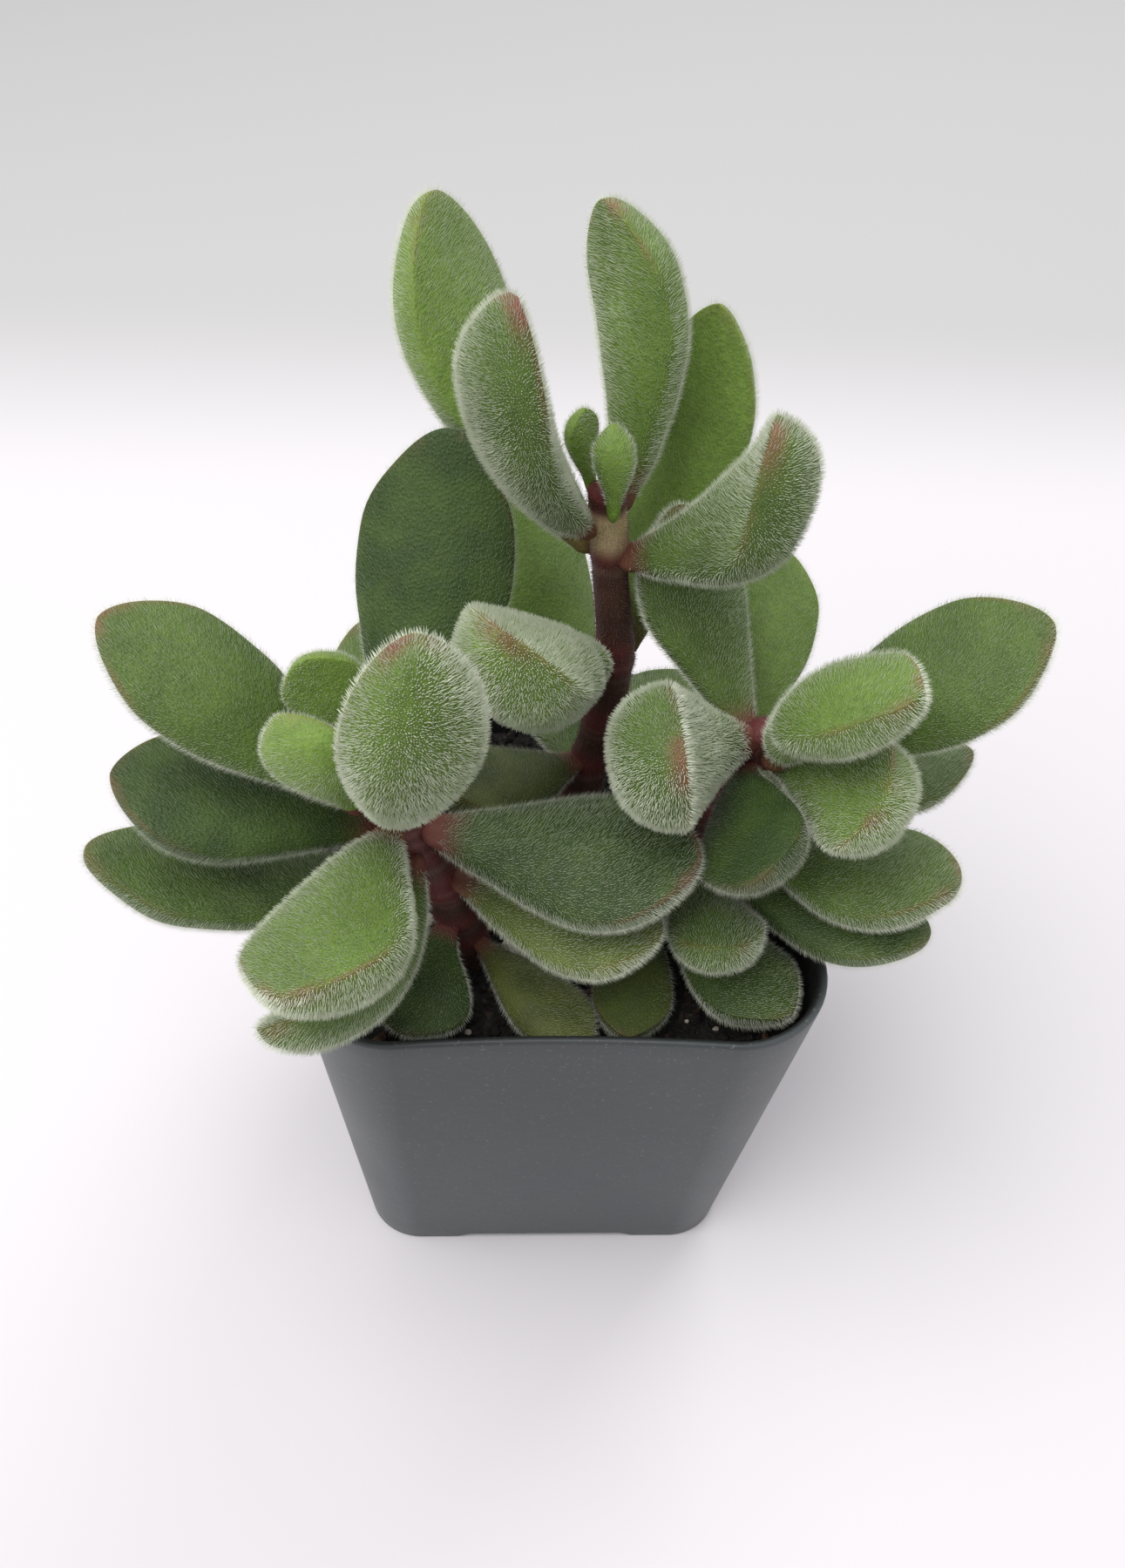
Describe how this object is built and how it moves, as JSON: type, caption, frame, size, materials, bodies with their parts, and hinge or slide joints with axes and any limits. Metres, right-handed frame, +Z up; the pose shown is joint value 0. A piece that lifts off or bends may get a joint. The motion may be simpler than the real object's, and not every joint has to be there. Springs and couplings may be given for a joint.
{
  "type": "potted succulent plant",
  "caption": "Fuzzy-leaved crassula in a small square tapered nursery pot: upright branching stems with thick oval leaves in crosswise pairs over dark soil.",
  "frame": {"origin": "centre of the pot's underside, on the surface that it stands on", "axes": "+Z up out of the pot, +X to its right side, -Y to its front"},
  "size_m": [0.0943, 0.0685, 0.1226],
  "materials": {
    "pot": "satin slate-grey moulded plastic",
    "soil": "dark peat and bark potting mix, at the density of wood",
    "stem": "red-brown stem with short hairs",
    "leaf": "fleshy green leaf with short dense white hairs, at close to the density of water",
    "perlite": "porous white mineral grain, at the density of fabric"
  },
  "bodies": {
    "root": {"pot": "pot", "main_stem": "stem", "left_stem": "stem", "right_stem": "stem", "main_tip_left": "leaf", "main_tip_right": "leaf", "main_left_1": "leaf", "main_right_1": "leaf", "main_left_2": "leaf", "main_right_2": "leaf", "main_left_3": "leaf", "main_right_3": "leaf", "main_left_4": "leaf", "main_right_4": "leaf", "main_left_5": "leaf", "main_right_5": "leaf", "main_back_6": "leaf", "left_tip_back": "leaf", "left_tip_front": "leaf", "left_left_1": "leaf", "left_right_1": "leaf", "left_front_2": "leaf", "left_back_2": "leaf", "left_left_3": "leaf", "left_right_3": "leaf", "left_front_4": "leaf", "left_back_4": "leaf", "left_left_5": "leaf", "left_right_5": "leaf", "left_front_6": "leaf", "left_right_7": "leaf", "left_back_5": "leaf", "right_right_1": "leaf", "right_left_1": "leaf", "right_back_2": "leaf", "right_front_2": "leaf", "right_right_3": "leaf", "right_front_3": "leaf", "right_right_4": "leaf", "right_back_4": "leaf", "right_right_5": "leaf", "right_front_6": "leaf", "right_left_6": "leaf", "right_front_7": "leaf", "right_left_7": "leaf", "right_back_5": "leaf", "perlite_1": "perlite", "perlite_2": "perlite", "perlite_3": "perlite", "perlite_4": "perlite", "perlite_5": "perlite", "perlite_6": "perlite", "soil": "soil"}
  },
  "joints": []
}
